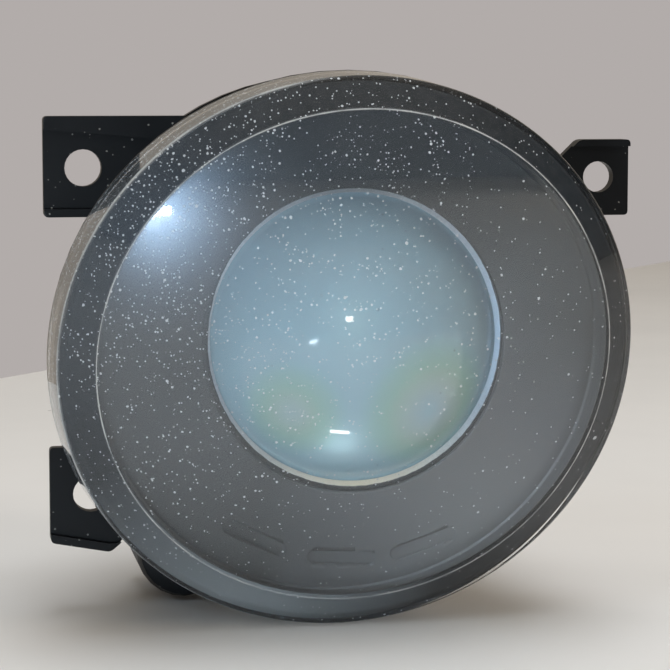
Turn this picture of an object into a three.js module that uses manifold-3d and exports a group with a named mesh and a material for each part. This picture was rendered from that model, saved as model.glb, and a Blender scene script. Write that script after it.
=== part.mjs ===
// Round projector fog light for a car bumper, with a raked clear cover.
//
// Millimetres, +Z up. The origin is where the optical axis crosses the mounting plane, which
// is the rear face of the three ear bosses. The beam leaves along -Y, +Y points into the car
// and +X is the outboard side.
//
// Bodies: the housing with its cover and mounting frame, the projector module that tilts on two
// ball studs, the bulb that twists into the module, and the screw and nut that aim the module.

import * as THREE from 'three';
import { mergeVertices } from 'three/addons/utils/BufferGeometryUtils.js';
import Module from 'manifold-3d';

const wasm = await Module();
wasm.setup();

const degrees = THREE.MathUtils.degToRad;

// ---------- Driving dimensions ----------

const GAP = 0.3;
const LARGE_RING = 64;
const LENS_RING = 32;
const MEDIUM_RING = 24;
const SMALL_RING = 12;

// Cover: the shoulder is its largest ring, the crease is where the dome meets the bevel.
const RAKE_YAW = degrees(1.2);
const RAKE_PITCH = degrees(14.3);
const SHOULDER = { centre: [-2.5, -38, -3.5], radius: 55.5 };
const CREASE = { centre: [-1.7, -42, -3.5], radius: 49.2 };
const SKIRT_END = { centre: [-2.9, -24, -3.2], radius: 56.1 };
const DOME_RISE = 8.5;
const DOME_STEPS = 5;
const COVER_WALL = 2.5;
const TONGUE_INSET = 2.8;
const TONGUE_WIDTH = 1.8;
const TONGUE_DEPTH = 2.3;

// Bezel
const BEZEL_WALL = 1.2;
const BEZEL_OPENING = 29.1;
const BEZEL_CENTRE = [-0.5, -0.3];
const BEZEL_FRONT = -31.6;
const BEZEL_CREST = { depth: 2.0, inset: 4.4 };
const BEZEL_CORNER = { depth: 3.2, inset: 3.2 };
// Three shallow decorative pockets in the bezel's lower part
const POCKETS = { circle: 43, halfLength: 5.5, halfWidth: 1.3, angles: [-117, -93, -71].map(degrees) };
const POCKET_DEPTH = 0.6;

// Housing
const CHANNEL_DEPTH = 4.2;
const CHANNEL_OUTER = 53.7;
const CHANNEL_INNER = 51.1;
const CHANNEL_BACK = 5.4;
const RIM_RADIUS = 55.9;
const RIM_THICKNESS = 0.9;
const RIM_WALL = 54.6;
const RIM_ROOT = 53.2;
const MOUTH_RADIUS = 49.8;
const BARREL_CENTRE = [-2.5, -0.5];
const BARREL_OUTER = 46;
const BARREL_INNER = 43.5;
const BARREL_FRONT = -4;
const BARREL_BACK = 3;
const REAR_WALL_INSIDE = 38;
const REAR_WALL_OUTSIDE = 40.5;
const COLLAR_OUTER = 24;
const COLLAR_INNER = 22;
const COLLAR_END = 43;
// Where the barrel's wall changes its taper, between the barrel's back and the rear wall
const TAPER = [{ y: 9, outer: 43.8, inner: 41.2 }, { y: 26, outer: 39.3, inner: 36.8 }];
const REAR_OUTER = 34.8;
const REAR_INNER = 32.6;
const VENT = { circle: 31, angle: degrees(60), radius: 2.4, bore: 1.2, end: 46 };
const RIB_ANGLES = [15, 60, 105, 150, 195, 285, 330].map(degrees);
const RIB_THICKNESS = 2;

// Mounting frame and its ears
const FRAME_FRONT = -3;
const EAR_BACK = -0.6;
const FRAME_OUTER = 50.6;
const FRAME_INNER = BARREL_OUTER + 0.4;
const EARS = [
  {
    outline: [[-57.9, 22.2], [-44, 22.2], [-40, 28], [-25.5, 42.2], [-57.9, 42.2]],
    hole: [-50.0, 31.9],
    holeRadius: 3.7,
    lips: [
      [[-60, 39.8], [-32.1, 37.4], [-26, 42.2], [-60, 44]],
      [[-60, 20], [-43, 20], [-43, 23.8], [-60, 23.8]],
    ],
  },
  {
    outline: [[42, 21.5], [62.3, 21.5], [62.3, 37.1], [51.6, 37.1], [40, 25.8]],
    hole: [55.9, 29.4],
    holeRadius: 3.2,
    lips: [[[49.6, 35.7], [64, 35.7], [64, 39], [49.6, 39]]],
  },
  {
    outline: [[-57.3, -43.2], [-45.4, -45.4], [-43.1, -43.5], [-36, -34], [-42, -24.1], [-57.3, -24.1]],
    hole: [-49.1, -33.7],
    holeRadius: 3.6,
    lips: [[[-60, -45], [-45.4, -46], [-43, -43.5], [-45.4, -43.7], [-60, -41]]],
  },
];
const EAR_ROUNDING = 0.9;
const LIP_FRONT = -4.6;
const EAR_BOSS_RADIUS = 5.6;
const FRAME_SCREWS = [
  { angle: degrees(60), bossStart: -19 },
  { angle: degrees(190), bossStart: -14 },
  { angle: degrees(340), bossStart: -10 },
];
const FRAME_SCREW_CIRCLE = 49.1;
const FRAME_SCREW_BOSS = 3.4;
const FRAME_SCREW_PAD = 3.8;
const FRAME_SCREW_PILOT = 1.7;
const FRAME_SCREW_CLEARANCE = 1.8;
const FRAME_SCREW_DEPTH = 8;

// Projector module
const PIVOT_Y = -2;
const PIVOT_X = 37;
const BALL_RADIUS = 2.5;
const POCKET_RADIUS = 2.9;
const STUD_RADIUS = 1.5;
const STUD_HOLE = 1.8;
const SOCKET_RADIUS = 4.6;
const SOCKET_FRONT = 35.2;
const CUP_WALL = 2;
const CUP_LENGTH = 3.5;
const LENS_RIM_Y = -27.3;
const LENS_BACK_Y = -24.6;
const LENS_FLANGE_RADIUS = 28.6;
const LENS_DOME_RADIUS = 27.6;
const LENS_DOME_RISE = 14;
const FLANGE_RADIUS = 34.3;
const HOLDER_FLANGE = [1.5, 4.2];
const SHIELD = [4.5, 5.4];
const REFLECTOR_FLANGE = [5.7, 8.2];
const MODULE_SCREW_CIRCLE = 31.6;
const MODULE_SCREW_ANGLES = [45, 135, 225, 315].map(degrees);
const BOWL_RADIUS = 27;
const BOWL_LENGTH = 36;
const BOWL_WALL = 1.6;
const NECK_OUTER = 15;
const NECK_INNER = 11.2;
const NECK_END = 47;
const ARM_END = 41;
const ARM_HALF_WIDTH = 3.4;

// Aiming gear: the tower stands outside the barrel, in direction TOWER_ANGLE from the axis.
const TOWER_ANGLE = degrees(237.7);
const TOWER_DISTANCE = 55.4;
const TOWER_OUTER = 9.8;
const TOWER_INNER = 7.8;
const TOWER = [1, 28];
const TOWER_CAVITY = [3, 22.5];
const AIM_BALL_DISTANCE = 48;
const AIM_BALL_Y = 11;
const SLOT = [3.6, 18.4];
const SLOT_WIDTH = 9;
const SCREW_RADIUS = 2.5;
const SHAFT_RADIUS = 3.6;
const SHAFT_BORE = 4.0;
const FORK_HALF_WIDTH = 3.2;
const SLEEVE_RADIUS = 5.4;

// Bulb
const BULB_PILOT_RADIUS = 9.7;
const BULB_FLANGE = [48.8, 51];
const LUG_ANGLES = [90, 210, 330].map(degrees);
const BULB_TWIST = degrees(45);
const CONNECTOR = { halfWidth: 9.5, front: 52.2, back: 65.8, bottom: -33, wall: 1.6 };
const BLADE_X = 2.4;

// ---------- Solids ----------

// Welds a geometry to bare positions, drops collapsed triangles and turns its faces outwards.
function closedBody(geometry) {
  const bare = geometry.clone();
  bare.deleteAttribute('normal');
  bare.deleteAttribute('uv');
  const welded = mergeVertices(bare, 1e-4);
  const position = welded.attributes.position;
  const source = welded.index.array;
  const kept = [];
  let volume = 0;
  const [a, b, c] = [new THREE.Vector3(), new THREE.Vector3(), new THREE.Vector3()];
  for (let i = 0; i < source.length; i += 3) {
    const corners = [source[i], source[i + 1], source[i + 2]];
    if (new Set(corners).size < 3) continue;
    a.fromBufferAttribute(position, corners[0]);
    b.fromBufferAttribute(position, corners[1]);
    c.fromBufferAttribute(position, corners[2]);
    volume += a.dot(b.cross(c));
    kept.push(corners);
  }
  if (volume < 0) kept.forEach((corners) => corners.reverse());
  welded.setIndex(kept.flat());
  return welded;
}

function toManifold(geometry) {
  const body = closedBody(geometry);
  const mesh = new wasm.Mesh({
    numProp: 3,
    vertProperties: Float32Array.from(body.attributes.position.array),
    triVerts: Uint32Array.from(body.index.array),
  });
  mesh.merge();
  return new wasm.Manifold(mesh);
}

function toGeometry(manifold) {
  const mesh = manifold.getMesh();
  const geometry = new THREE.BufferGeometry();
  geometry.setAttribute('position', new THREE.BufferAttribute(Float32Array.from(mesh.vertProperties), 3));
  geometry.setIndex(Array.from(mesh.triVerts));
  return geometry;
}

function join(...geometries) {
  return toGeometry(geometries.map(toManifold).reduce((sum, next) => sum.add(next)));
}

function cut(geometry, ...tools) {
  return toGeometry(tools.map(toManifold).reduce((rest, tool) => rest.subtract(tool), toManifold(geometry)));
}

function common(geometry, other) {
  return toGeometry(toManifold(geometry).intersect(toManifold(other)));
}

// A solid of revolution about the Y axis. The profile is a list of [radius, y].
function turned(profile, segments = MEDIUM_RING) {
  const points = profile.map(([radius, y]) => new THREE.Vector2(radius, y));
  const onAxis = profile[0][0] === 0 && profile[profile.length - 1][0] === 0;
  if (!onAxis) points.push(points[0].clone());
  return closedBody(new THREE.LatheGeometry(points, segments));
}

function rod(radius, from, to, segments = SMALL_RING) {
  const geometry = new THREE.CylinderGeometry(radius, radius, to - from, segments);
  return geometry.translate(0, (from + to) / 2, 0);
}

function rodAlongX(radius, from, to, y, segments = SMALL_RING) {
  return rod(radius, from, to, segments).rotateZ(-Math.PI / 2).translate(0, y, 0);
}

function block([x0, x1], [y0, y1], [z0, z1]) {
  const geometry = new THREE.BoxGeometry(x1 - x0, y1 - y0, z1 - z0);
  return geometry.translate((x0 + x1) / 2, (y0 + y1) / 2, (z0 + z1) / 2);
}

function ball(radius, x, y) {
  return new THREE.SphereGeometry(radius, SMALL_RING, SMALL_RING / 2).translate(x, y, 0);
}

// A flat piece between two Y planes, from a shape drawn in X and Z.
function plate(shape, [from, to], curveSegments = SMALL_RING) {
  const geometry = new THREE.ExtrudeGeometry(shape, { depth: to - from, bevelEnabled: false, curveSegments });
  return geometry.rotateX(Math.PI / 2).translate(0, to, 0);
}

function outlineShape(points) {
  return new THREE.Shape(points.map(([x, z]) => new THREE.Vector2(x, z)));
}

// A shape whose corners are rounded off over the given length of each side.
function roundedShape(points, rounding) {
  const corners = points.map(([x, z]) => new THREE.Vector2(x, z));
  const shape = new THREE.Shape();
  corners.forEach((corner, i) => {
    const before = corners[(i + corners.length - 1) % corners.length];
    const after = corners[(i + 1) % corners.length];
    const start = corner.clone().add(before.clone().sub(corner).setLength(rounding));
    const end = corner.clone().add(after.clone().sub(corner).setLength(rounding));
    if (i === 0) shape.moveTo(start.x, start.y);
    else shape.lineTo(start.x, start.y);
    shape.quadraticCurveTo(corner.x, corner.y, end.x, end.y);
  });
  return shape;
}

// Turns a geometry that was built along +X to the given angle in the X-Z plane.
function toAngle(geometry, angle) {
  return geometry.rotateY(-angle);
}

// ---------- Raked rings ----------

function rakeAxes(share) {
  const yaw = RAKE_YAW * share;
  const pitch = RAKE_PITCH * share;
  return {
    across: new THREE.Vector3(Math.cos(yaw), Math.sin(yaw), 0),
    up: new THREE.Vector3(
      Math.sin(yaw) * Math.sin(pitch), -Math.cos(yaw) * Math.sin(pitch), Math.cos(pitch)),
    inward: new THREE.Vector3(
      -Math.sin(yaw) * Math.cos(pitch), Math.cos(yaw) * Math.cos(pitch), Math.sin(pitch)),
  };
}

// A raked ring that lies `depth` behind another one, with its radius made smaller by `inset`.
function behind(ring, depth, inset = 0) {
  const centre = new THREE.Vector3(...ring.centre).addScaledVector(rakeAxes(1).inward, depth);
  return { centre: centre.toArray(), radius: ring.radius - inset, share: 1 };
}

function centredAt(ring, depth, radius) {
  return behind(ring, depth, ring.radius - radius);
}

function squareRing(radius, y, [x, z] = [0, 0]) {
  return { centre: [x, y, z], radius, share: 0 };
}

// Joins rings in order. Rings of radius 0 close the ends; otherwise the last meets the first.
function loft(rings, segments = LARGE_RING) {
  const positions = [];
  for (const { centre, radius, share = 1 } of rings) {
    const { across, up } = rakeAxes(share);
    for (let i = 0; i < segments; i += 1) {
      const angle = (2 * Math.PI * i) / segments;
      const point = new THREE.Vector3(...centre)
        .addScaledVector(across, radius * Math.cos(angle))
        .addScaledVector(up, radius * Math.sin(angle));
      positions.push(...point.toArray());
    }
  }
  const closedLoop = rings[0].radius > 0;
  const bands = closedLoop ? rings.length : rings.length - 1;
  const index = [];
  for (let band = 0; band < bands; band += 1) {
    const first = band * segments;
    const second = ((band + 1) % rings.length) * segments;
    for (let i = 0; i < segments; i += 1) {
      const next = (i + 1) % segments;
      index.push(first + i, first + next, second + next);
      index.push(first + i, second + next, second + i);
    }
  }
  const geometry = new THREE.BufferGeometry();
  geometry.setAttribute('position', new THREE.Float32BufferAttribute(positions, 3));
  geometry.setIndex(index);
  return closedBody(geometry);
}

// Rings of a shallow dome on the crease, from its apex (radius 0) outwards.
function domeRings(depth, rim) {
  const sphere = (rim ** 2 + DOME_RISE ** 2) / (2 * DOME_RISE);
  const halfAngle = Math.asin(rim / sphere);
  const rings = [];
  for (let step = 0; step < DOME_STEPS; step += 1) {
    const angle = (halfAngle * step) / DOME_STEPS;
    const rise = sphere * (Math.cos(angle) - Math.cos(halfAngle));
    rings.push(centredAt(CREASE, depth - rise, sphere * Math.sin(angle)));
  }
  return rings;
}

// ---------- Cover, sealant and bezel ----------

function outerLens() {
  const innerRim = CREASE.radius - 0.6;
  return loft([
    ...domeRings(0, CREASE.radius),
    CREASE,
    behind(SHOULDER, -0.5, 0.6),
    behind(SHOULDER, 0.2, 0),
    SKIRT_END,
    behind(SKIRT_END, 0, TONGUE_INSET),
    behind(SKIRT_END, TONGUE_DEPTH, TONGUE_INSET),
    behind(SKIRT_END, TONGUE_DEPTH, TONGUE_INSET + TONGUE_WIDTH),
    behind(SKIRT_END, -1, TONGUE_INSET + TONGUE_WIDTH),
    behind(SKIRT_END, -2.5, COVER_WALL),
    behind(SHOULDER, COVER_WALL, COVER_WALL),
    centredAt(CREASE, COVER_WALL, innerRim),
    ...domeRings(COVER_WALL, innerRim).reverse(),
  ]);
}

function lensSealant() {
  const front = TONGUE_DEPTH + GAP;
  const back = CHANNEL_DEPTH - GAP;
  return loft([
    centredAt(SKIRT_END, front, CHANNEL_OUTER - GAP),
    centredAt(SKIRT_END, back, CHANNEL_OUTER - GAP),
    centredAt(SKIRT_END, back, CHANNEL_INNER + GAP),
    centredAt(SKIRT_END, front, CHANNEL_INNER + GAP),
  ]);
}

// A long rounded prism along Y, on a circle about the optical axis.
function pocketPrism(angle) {
  const { circle, halfLength, halfWidth } = POCKETS;
  const shape = new THREE.Shape();
  shape.absarc(0, halfLength, halfWidth, 0, Math.PI);
  shape.absarc(0, -halfLength, halfWidth, Math.PI, 2 * Math.PI);
  return toAngle(plate(shape, [-50, -10], 4).translate(circle, 0, 0), angle);
}

// The layer of the bezel's cone that the pockets are sunk into, and the space in front of it.
function pocketLayer() {
  const { depth, inset } = BEZEL_CREST;
  const ahead = 3;
  return loft([
    behind(SHOULDER, depth - ahead, inset),
    squareRing(BEZEL_OPENING, BEZEL_FRONT - ahead, BEZEL_CENTRE),
    squareRing(BEZEL_OPENING, BEZEL_FRONT + POCKET_DEPTH, BEZEL_CENTRE),
    behind(SHOULDER, depth + POCKET_DEPTH, inset),
  ]);
}

function bezel() {
  const base = CHANNEL_INNER - 0.4;
  const crest = BEZEL_CREST;
  const cone = loft([
    centredAt(SKIRT_END, 0, base),
    behind(SHOULDER, BEZEL_CORNER.depth, BEZEL_CORNER.inset),
    behind(SHOULDER, crest.depth, crest.inset),
    squareRing(BEZEL_OPENING, BEZEL_FRONT, BEZEL_CENTRE),
    squareRing(BEZEL_OPENING, BEZEL_FRONT + BEZEL_WALL, BEZEL_CENTRE),
    behind(SHOULDER, crest.depth + 1.9, crest.inset + BEZEL_WALL),
    centredAt(SKIRT_END, 0, base - BEZEL_WALL),
  ]);
  return cut(cone, ...POCKETS.angles.map((angle) => common(pocketPrism(angle), pocketLayer())));
}

// ---------- Housing ----------

function housingOutside() {
  return loft([
    centredAt(SKIRT_END, GAP, 0),
    centredAt(SKIRT_END, GAP, RIM_RADIUS),
    centredAt(SKIRT_END, GAP + RIM_THICKNESS, RIM_RADIUS),
    centredAt(SKIRT_END, CHANNEL_DEPTH, RIM_WALL),
    centredAt(SKIRT_END, CHANNEL_BACK, RIM_ROOT),
    centredAt(SKIRT_END, CHANNEL_BACK + 0.5, CHANNEL_INNER),
    squareRing(BARREL_OUTER, BARREL_FRONT, BARREL_CENTRE),
    squareRing(BARREL_OUTER, BARREL_BACK, BARREL_CENTRE),
    ...TAPER.map(({ y, outer }) => squareRing(outer, y)),
    squareRing(REAR_OUTER, REAR_WALL_OUTSIDE),
    squareRing(0, REAR_WALL_OUTSIDE),
  ]);
}

function housingCavity() {
  return loft([
    centredAt(SKIRT_END, -2, 0),
    centredAt(SKIRT_END, -2, MOUTH_RADIUS),
    centredAt(SKIRT_END, CHANNEL_DEPTH, MOUTH_RADIUS),
    squareRing(BARREL_INNER, BARREL_FRONT - 1.2, BARREL_CENTRE),
    squareRing(BARREL_INNER, BARREL_BACK, BARREL_CENTRE),
    ...TAPER.map(({ y, inner }) => squareRing(inner, y)),
    squareRing(REAR_INNER, REAR_WALL_INSIDE),
    squareRing(0, REAR_WALL_INSIDE),
  ]);
}

function glueChannel() {
  return loft([
    centredAt(SKIRT_END, -1, CHANNEL_OUTER),
    centredAt(SKIRT_END, CHANNEL_DEPTH, CHANNEL_OUTER),
    centredAt(SKIRT_END, CHANNEL_DEPTH, CHANNEL_INNER),
    centredAt(SKIRT_END, -1, CHANNEL_INNER),
  ]);
}

function rearCollar() {
  return turned([
    [COLLAR_OUTER, REAR_WALL_INSIDE + 1],
    [COLLAR_OUTER, COLLAR_END],
    [COLLAR_INNER - 1, COLLAR_END],
    [COLLAR_INNER - 1, REAR_WALL_INSIDE + 1],
  ], LARGE_RING);
}

// A rib's outline in radius and y: its root lies inside the wall, its edge tapers to the rear wall.
function stiffeningRib(angle) {
  const root = [[37, 8], [46.4, 4.5]];
  const edge = [[44.5, 9.5], [36.6, REAR_WALL_OUTSIDE], [30, REAR_WALL_OUTSIDE]];
  const shape = outlineShape([...root, ...edge]);
  const rib = new THREE.ExtrudeGeometry(shape, { depth: RIB_THICKNESS, bevelEnabled: false });
  rib.translate(0, 0, -RIB_THICKNESS / 2);
  return toAngle(rib, angle);
}

function atTower(geometry) {
  const x = TOWER_DISTANCE * Math.cos(TOWER_ANGLE);
  const z = TOWER_DISTANCE * Math.sin(TOWER_ANGLE);
  return geometry.translate(x, 0, z);
}

// The tower's front end is rounded over, as a deep-drawn cap.
function towerOutside() {
  const rounding = 2.4;
  return atTower(turned([
    [0, TOWER[0]],
    [TOWER_OUTER - rounding, TOWER[0]],
    [TOWER_OUTER - rounding * 0.3, TOWER[0] + rounding * 0.3],
    [TOWER_OUTER, TOWER[0] + rounding],
    [TOWER_OUTER, TOWER[1]],
    [0, TOWER[1]],
  ]));
}

function towerWeb() {
  const innerEnd = 36;
  const outerEnd = TOWER_DISTANCE - 6;
  const halfWidth = 6;
  return toAngle(block([innerEnd, outerEnd], [6, 24], [-halfWidth, halfWidth]), TOWER_ANGLE);
}

function towerSlot() {
  const innerEnd = 34;
  const outerEnd = TOWER_DISTANCE - 4;
  const half = SLOT_WIDTH / 2;
  return toAngle(block([innerEnd, outerEnd], SLOT, [-half, half]), TOWER_ANGLE);
}

function frameScrewPlace(angle) {
  const x = BARREL_CENTRE[0] + FRAME_SCREW_CIRCLE * Math.cos(angle);
  const z = BARREL_CENTRE[1] + FRAME_SCREW_CIRCLE * Math.sin(angle);
  return [x, 0, z];
}

function frameScrewBoss({ angle, bossStart }) {
  return rod(FRAME_SCREW_BOSS, bossStart, FRAME_FRONT - GAP).translate(...frameScrewPlace(angle));
}

function frameScrewPilot({ angle }) {
  return rod(FRAME_SCREW_PILOT, -FRAME_SCREW_DEPTH, FRAME_FRONT + 1).translate(...frameScrewPlace(angle));
}

const VENT_PLACE = [VENT.circle * Math.cos(VENT.angle), 0, VENT.circle * Math.sin(VENT.angle)];

function ventNipple() {
  return rod(VENT.radius, REAR_WALL_INSIDE + 1, VENT.end).translate(...VENT_PLACE);
}

function ventHole() {
  return rod(VENT.bore, REAR_WALL_INSIDE - 4, VENT.end + 1).translate(...VENT_PLACE);
}

const SOCKETS = [
  { name: 'pivot_socket_left', side: -1, wall: BARREL_INNER - BARREL_CENTRE[0] },
  { name: 'pivot_socket_right', side: 1, wall: BARREL_INNER + BARREL_CENTRE[0] },
];

function alongSide(side, radius, from, to) {
  const [low, high] = side > 0 ? [from, to] : [-to, -from];
  return rodAlongX(radius, low, high, PIVOT_Y, 16);
}

function housing() {
  const shell = cut(
    join(
      housingOutside(),
      rearCollar(),
      towerOutside(),
      towerWeb(),
      ventNipple(),
      ...RIB_ANGLES.map(stiffeningRib),
      ...FRAME_SCREWS.map(frameScrewBoss),
    ),
    housingCavity(),
    glueChannel(),
    rod(COLLAR_INNER, REAR_WALL_INSIDE - 2, COLLAR_END + 1, LARGE_RING),
    atTower(rod(TOWER_INNER, ...TOWER_CAVITY, MEDIUM_RING)),
    atTower(rod(SHAFT_BORE, TOWER_CAVITY[1] - 1, TOWER[1] + 1, 16)),
    towerSlot(),
    ventHole(),
    ...FRAME_SCREWS.map(frameScrewPilot),
  );
  const cups = SOCKETS.map(({ side, wall }) =>
    alongSide(side, SOCKET_RADIUS + CUP_WALL, wall - CUP_LENGTH, wall + 1.2));
  const bores = SOCKETS.map(({ side, wall }) =>
    alongSide(side, SOCKET_RADIUS + GAP, wall - CUP_LENGTH - 1.5, wall));
  return cut(join(shell, ...cups), ...bores);
}

function pivotSocket({ side, wall }) {
  const body = alongSide(side, SOCKET_RADIUS, SOCKET_FRONT, wall - GAP);
  return cut(body, ball(POCKET_RADIUS, side * PIVOT_X, PIVOT_Y));
}

// ---------- Mounting frame ----------

function circleHole([x, z], radius) {
  return rod(radius, -20, 10, MEDIUM_RING).translate(x, 0, z);
}

// An ear with its hole's boss behind it and its stiffening lips in front.
function ear({ outline, hole, lips }) {
  const shape = roundedShape(outline, EAR_ROUNDING);
  const arm = plate(shape, [FRAME_FRONT, EAR_BACK], 4);
  const boss = rod(EAR_BOSS_RADIUS, FRAME_FRONT + 1, 0, MEDIUM_RING).translate(hole[0], 0, hole[1]);
  const edges = lips.map((lip) => plate(outlineShape(lip), [LIP_FRONT, FRAME_FRONT + 1]));
  const trimmed = common(join(...edges), plate(shape, [LIP_FRONT - 1, 1], 4));
  return join(arm, boss, trimmed);
}

function mountingFrame() {
  const [cx, cz] = BARREL_CENTRE;
  const ring = rod(FRAME_OUTER, FRAME_FRONT, 0, LARGE_RING).translate(cx, 0, cz);
  const bore = rod(FRAME_INNER, FRAME_FRONT - 8, 1, LARGE_RING).translate(cx, 0, cz);
  const pads = FRAME_SCREWS.map(({ angle }) =>
    rod(FRAME_SCREW_PAD, FRAME_FRONT, 0, MEDIUM_RING).translate(...frameScrewPlace(angle)));
  const screwHoles = FRAME_SCREWS.map(({ angle }) =>
    rod(FRAME_SCREW_CLEARANCE, -20, 10).translate(...frameScrewPlace(angle)));
  return cut(
    join(ring, ...pads, ...EARS.map(ear)),
    bore,
    ...EARS.map(({ hole, holeRadius }) => circleHole(hole, holeRadius)),
    ...screwHoles,
  );
}

// A pan-head screw along Y: its head's underside is at y = 0 and its shank runs towards -Y.
function panHeadScrew(headRadius, headHeight, shankRadius, length) {
  return turned([
    [0, -length],
    [shankRadius, -length],
    [shankRadius, 0],
    [headRadius, 0],
    [headRadius, headHeight * 0.6],
    [headRadius * 0.75, headHeight],
    [0, headHeight],
  ], SMALL_RING);
}

function frameScrew() {
  return panHeadScrew(2.8, 2.0, 1.35, 7.8);
}

// ---------- Projector module ----------

// The front lens is a thick plano-convex disc with a thin flange.
function projectorLens() {
  const steps = 7;
  const sphere = (LENS_DOME_RADIUS ** 2 + LENS_DOME_RISE ** 2) / (2 * LENS_DOME_RISE);
  const halfAngle = Math.asin(LENS_DOME_RADIUS / sphere);
  const profile = [[0, LENS_BACK_Y], [LENS_FLANGE_RADIUS, LENS_BACK_Y], [LENS_FLANGE_RADIUS, LENS_RIM_Y]];
  for (let step = steps; step > 0; step -= 1) {
    const angle = (halfAngle * step) / steps;
    const rise = sphere * (Math.cos(angle) - Math.cos(halfAngle));
    profile.push([sphere * Math.sin(angle), LENS_RIM_Y - rise]);
  }
  profile.push([0, LENS_RIM_Y - LENS_DOME_RISE]);
  return turned(profile, LENS_RING);
}

function lensRetainingRing() {
  const lipInner = LENS_DOME_RADIUS + GAP;
  const sleeveInner = LENS_FLANGE_RADIUS + 0.4;
  const outer = sleeveInner + 0.9;
  return turned([
    [outer, LENS_RIM_Y - 1.0],
    [lipInner, LENS_RIM_Y - 1.0],
    [lipInner, LENS_RIM_Y - GAP],
    [sleeveInner, LENS_RIM_Y - GAP],
    [sleeveInner, -21.5],
    [outer, -21.5],
  ], LENS_RING);
}

function moduleScrewHoles(radius) {
  return MODULE_SCREW_ANGLES.map((angle) =>
    toAngle(rod(radius, -1, 12, 12).translate(MODULE_SCREW_CIRCLE, 0, 0), angle));
}

function lensHolder() {
  const [flangeFront, flangeBack] = HOLDER_FLANGE;
  const tube = turned([
    [LENS_FLANGE_RADIUS, LENS_BACK_Y + GAP],
    [LENS_FLANGE_RADIUS, -8],
    [30.4, -5],
    [30.4, flangeFront],
    [FLANGE_RADIUS, flangeFront],
    [FLANGE_RADIUS, flangeBack],
    [28.4, flangeBack],
    [28.4, -4],
    [26.2, -8],
    [26.2, LENS_BACK_Y + GAP],
  ], LENS_RING);
  const bosses = [-1, 1].map((side) => alongSide(side, 3.8, 29.2, 34.2));
  const armWidth = [-ARM_HALF_WIDTH, ARM_HALF_WIDTH];
  const armRoot = toAngle(block([30, ARM_END], HOLDER_FLANGE, armWidth), TOWER_ANGLE);
  const armEnd = toAngle(block([35.6, ARM_END], [flangeFront, AIM_BALL_Y + 3], armWidth), TOWER_ANGLE);
  const studHoles = [-1, 1].map((side) => alongSide(side, STUD_HOLE, 31.5, 36));
  const armHole = toAngle(rodAlongX(STUD_HOLE, 36.5, ARM_END + 2, AIM_BALL_Y), TOWER_ANGLE);
  return cut(join(tube, ...bosses, armRoot, armEnd), ...studHoles, armHole, ...moduleScrewHoles(1.5));
}

// A shoulderless ball stud along X.
function ballStud(from, centre, y) {
  return join(rodAlongX(STUD_RADIUS, from, centre, y), ball(BALL_RADIUS, centre, y));
}

function aimingBallStud() {
  return toAngle(ballStud(36.8, AIM_BALL_DISTANCE, AIM_BALL_Y), TOWER_ANGLE);
}

function cutoffShield() {
  const windowRadius = 26;
  const edge = 0.5;
  const start = Math.asin(edge / windowRadius);
  const disc = new THREE.Shape();
  disc.absarc(0, 0, FLANGE_RADIUS, 0, 2 * Math.PI);
  const window = new THREE.Path();
  window.absarc(0, 0, windowRadius, start, Math.PI - start);
  disc.holes.push(window);
  return cut(plate(disc, SHIELD, 14), ...moduleScrewHoles(1.6));
}

function bowlRadius(y) {
  return BOWL_RADIUS * Math.sqrt(1 - ((y - REFLECTOR_FLANGE[0]) / BOWL_LENGTH) ** 2);
}

function reflector() {
  const [flangeFront, flangeBack] = REFLECTOR_FLANGE;
  const bowlEnd = 38.5;
  const neckStart = 37;
  const steps = 5;
  const outside = [[FLANGE_RADIUS, flangeFront], [FLANGE_RADIUS, flangeBack]];
  const inside = [];
  for (let step = 0; step <= steps; step += 1) {
    const share = Math.sin((Math.PI / 2) * (step / steps));
    const outsideY = flangeBack + (neckStart - flangeBack) * share;
    const insideY = flangeFront + (bowlEnd - flangeFront) * share;
    outside.push([bowlRadius(outsideY) + BOWL_WALL, outsideY]);
    inside.push([bowlRadius(insideY), insideY]);
  }
  const bowl = turned([
    ...outside,
    [NECK_OUTER, neckStart],
    [NECK_OUTER, NECK_END],
    [13, NECK_END],
    [13, 44.2],
    [NECK_INNER, 44.2],
    [NECK_INNER, bowlEnd],
    ...inside.slice(0, -1).reverse(),
  ], LENS_RING);
  return cut(bowl, ...moduleScrewHoles(1.6));
}

function moduleScrew() {
  return panHeadScrew(2.4, 2.0, 1.2, 6.6);
}

// ---------- Bulb ----------

// One bayonet lug or notch, as a sector that reaches from the axis.
function sector(radius, angle, width, range) {
  const shape = new THREE.Shape();
  const start = angle - width / 2;
  shape.moveTo(0, 0);
  shape.lineTo(radius * Math.cos(start), radius * Math.sin(start));
  shape.absarc(0, 0, radius, start, angle + width / 2);
  return plate(shape, range, 6);
}

function bulbLockRing() {
  const ring = turned([
    [NECK_OUTER, 47.3],
    [NECK_OUTER, 48.5],
    [10.2, 48.5],
    [10.2, 47.3],
  ]);
  const notches = LUG_ANGLES.map((angle) => sector(12.6, angle - BULB_TWIST, degrees(40), [47, 49]));
  return cut(ring, ...notches);
}

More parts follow.
